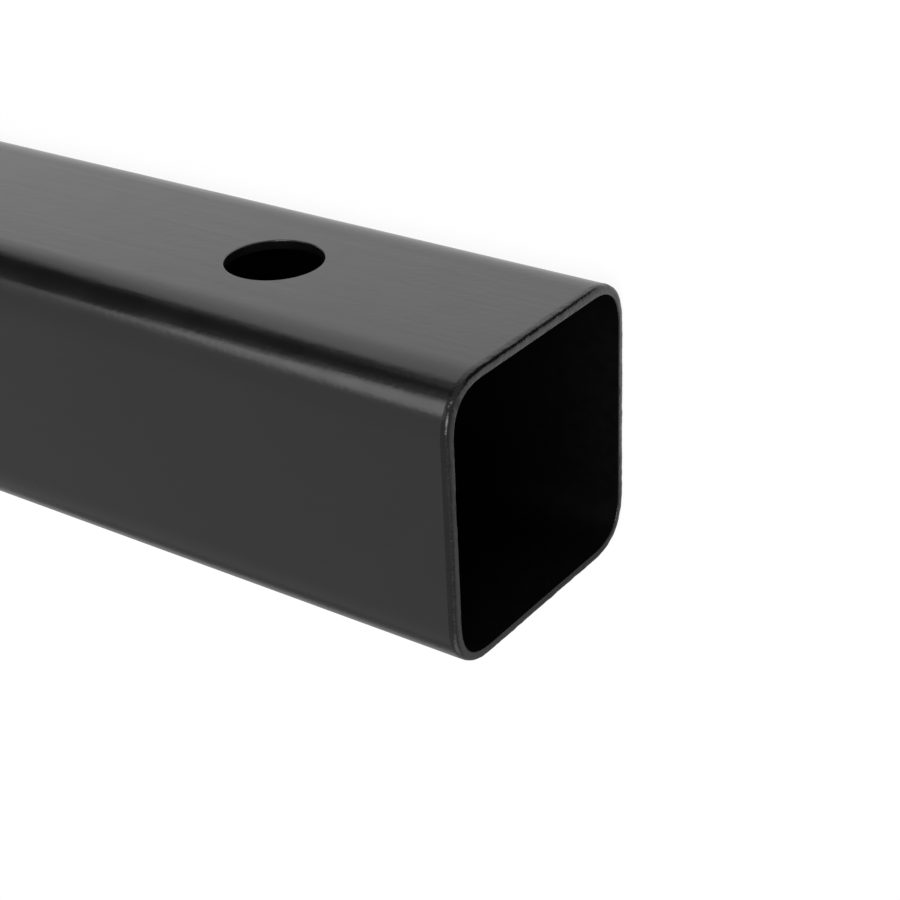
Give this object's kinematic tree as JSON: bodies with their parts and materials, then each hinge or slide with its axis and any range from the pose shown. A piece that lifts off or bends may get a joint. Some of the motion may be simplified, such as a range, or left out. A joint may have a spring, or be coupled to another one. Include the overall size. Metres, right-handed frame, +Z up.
{
  "type": "hitch flagpole mount",
  "caption": "L-shaped steel mount whose hollow square shank pins into a 2 inch hitch receiver and carries an upright round sleeve that clamps a flagpole.",
  "frame": {"origin": "where the hitch pin's axis crosses the shank's axis", "axes": "+X along the shank from the receiver to the pole, +Y along the hitch pin, +Z up along the pole; the open receiver end of the shank points to -X"},
  "size_m": [0.3881, 0.0604, 0.18],
  "materials": {
    "powder_coat": "satin black powder coat with a fine texture",
    "coated_weld": "satin black powder coat over a rippled weld bead",
    "zinc_bolt": "bright zinc plating",
    "knob_plastic": "moulded glass-filled nylon with a fine grain",
    "pad_nylon": "plain moulded nylon"
  },
  "bodies": {
    "welded_mount": {"shank_tube": "powder_coat", "pole_sleeve": "powder_coat", "base_disc": "powder_coat", "gusset_plate": "powder_coat", "joint_weld": "coated_weld", "gusset_foot_welds": "coated_weld", "gusset_back_welds": "coated_weld", "base_weld": "coated_weld", "lower_weld_nut": "powder_coat", "lower_nut_weld": "coated_weld", "upper_weld_nut": "powder_coat", "upper_nut_weld": "coated_weld"},
    "lower_pad": {"lower_swivel_pad": "pad_nylon"},
    "lower_screw": {"lower_clamp_bolt": "zinc_bolt", "lower_knob": "knob_plastic"},
    "upper_pad": {"upper_swivel_pad": "pad_nylon"},
    "upper_screw": {"upper_clamp_bolt": "zinc_bolt", "upper_knob": "knob_plastic"}
  },
  "joints": [
    {"name": "lower_screw_advance", "type": "slide", "parent": "welded_mount", "child": "lower_pad", "axis": [-1, 0, 0], "range_m": [0, 0.024]},
    {"name": "lower_screw_turn", "type": "hinge", "parent": "lower_pad", "child": "lower_screw", "pos_m": [0.3073, 0, 0.012], "axis": [-1, 0, 0], "range_deg": [0, 5760]},
    {"name": "upper_screw_advance", "type": "slide", "parent": "welded_mount", "child": "upper_pad", "axis": [-1, 0, 0], "range_m": [0, 0.024]},
    {"name": "upper_screw_turn", "type": "hinge", "parent": "upper_pad", "child": "upper_screw", "pos_m": [0.3073, 0, 0.118], "axis": [-1, 0, 0], "range_deg": [0, 5760]}
  ],
  "couplings": [
    {"joint": "lower_screw_advance", "follows": "lower_screw_turn", "m_per_rad": 0.00023873},
    {"joint": "upper_screw_advance", "follows": "upper_screw_turn", "m_per_rad": 0.00023873}
  ]
}
